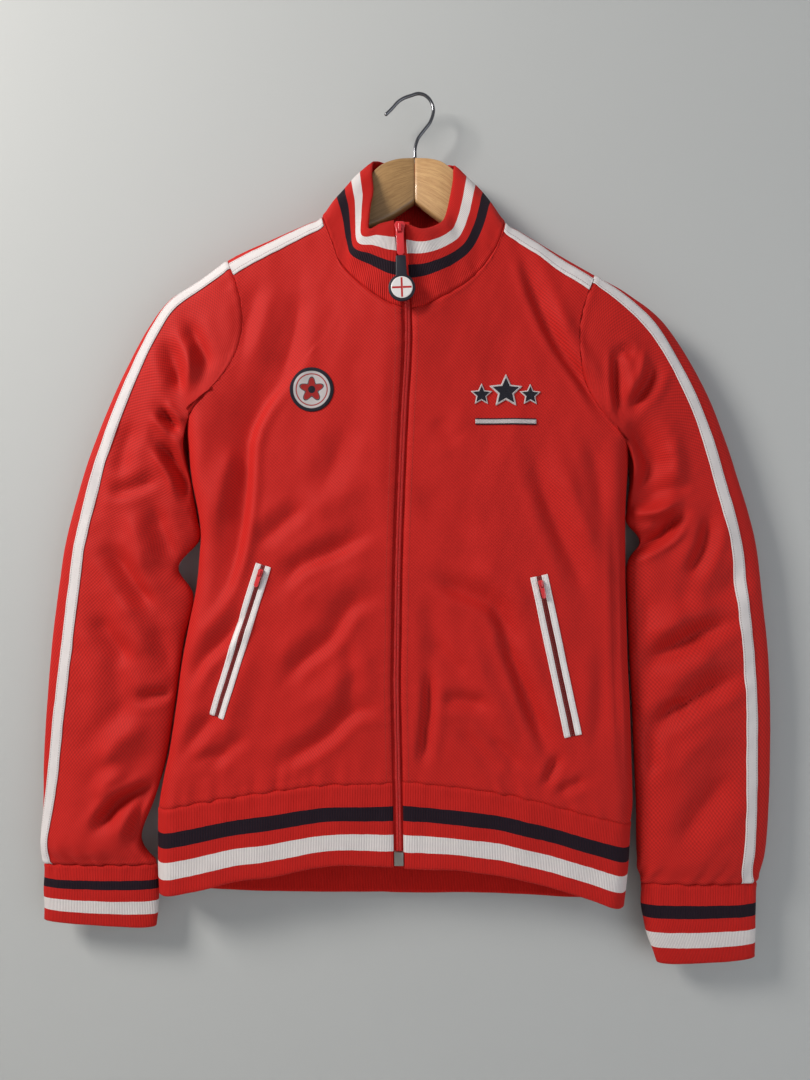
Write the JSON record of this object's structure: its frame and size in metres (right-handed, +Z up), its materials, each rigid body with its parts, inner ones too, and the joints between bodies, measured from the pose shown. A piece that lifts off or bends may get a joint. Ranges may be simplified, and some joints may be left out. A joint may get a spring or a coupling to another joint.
{
  "type": "track jacket on hanger",
  "caption": "Zip-front track jacket with ribbed collar, cuffs and hem, striped sleeves and slanted pockets, hung on a wooden hanger by a wire hook.",
  "frame": {"origin": "where the hook bears on what holds it: the underside of the hook's wire, on the jacket's middle depth", "axes": "+Z up, +X to the viewer's right as seen from the front, +Y away from the viewer, so the front faces -Y"},
  "size_m": [0.772, 0.0767, 0.9225],
  "materials": {
    "cloth_red": "matt double knit",
    "rib_red": "matt fine rib",
    "tape_white": "matt twill",
    "star_navy": "matt embroidery",
    "zip_red": "woven tape and nylon coil",
    "gloss_red": "gloss lacquer",
    "box_metal": "satin",
    "grip_navy": "satin",
    "face_white": "gloss",
    "wood": "satin varnish",
    "wire": "polished"
  },
  "bodies": {
    "jacket": {"front_left": "cloth_red", "front_right": "cloth_red", "back": "cloth_red", "sleeve_left": "cloth_red", "sleeve_right": "cloth_red", "cuff_left": "rib_red", "cuff_right": "rib_red", "collar": "rib_red", "hem_rib": "rib_red", "shoulder_tape_left": "tape_white", "shoulder_tape_right": "tape_white", "sleeve_tape_left": "tape_white", "sleeve_tape_right": "tape_white", "pocket_welt_a_left": "tape_white", "pocket_welt_b_left": "tape_white", "pocket_welt_a_right": "tape_white", "pocket_welt_b_right": "tape_white", "chest_patch": "tape_white", "star_bar": "tape_white", "star_left": "star_navy", "star_middle": "star_navy", "star_right": "star_navy", "zip_tape_left": "zip_red", "zip_tape_right": "zip_red", "zip_chain": "zip_red", "pocket_zip_left": "zip_red", "pocket_zip_right": "zip_red", "zip_slider": "gloss_red", "pocket_slider_left": "gloss_red", "pocket_slider_right": "gloss_red", "zip_box": "box_metal", "hanger_arm_left": "wood", "hanger_arm_right": "wood", "hanger_hook": "wire"},
    "main_pull": {"pull_tab": "gloss_red", "pull_grip": "grip_navy", "pull_face": "face_white"},
    "left_pull": {"pocket_pull_left": "gloss_red"},
    "right_pull": {"pocket_pull_right": "gloss_red"}
  },
  "joints": [
    {"name": "main_pull_hinge", "type": "hinge", "parent": "jacket", "child": "main_pull", "pos_m": [-0.01162, -0.05568, -0.1596], "axis": [-1, 0, 0], "range_deg": [0, 160]},
    {"name": "left_pull_hinge", "type": "hinge", "parent": "jacket", "child": "left_pull", "pos_m": [-0.15446, -0.03422, -0.50367], "axis": [-0.9473, 0.1111, 0.3004], "range_deg": [0, 150]},
    {"name": "right_pull_hinge", "type": "hinge", "parent": "jacket", "child": "right_pull", "pos_m": [0.13237, -0.03645, -0.51484], "axis": [-0.9767, -0.035, -0.2118], "range_deg": [0, 150]}
  ]
}
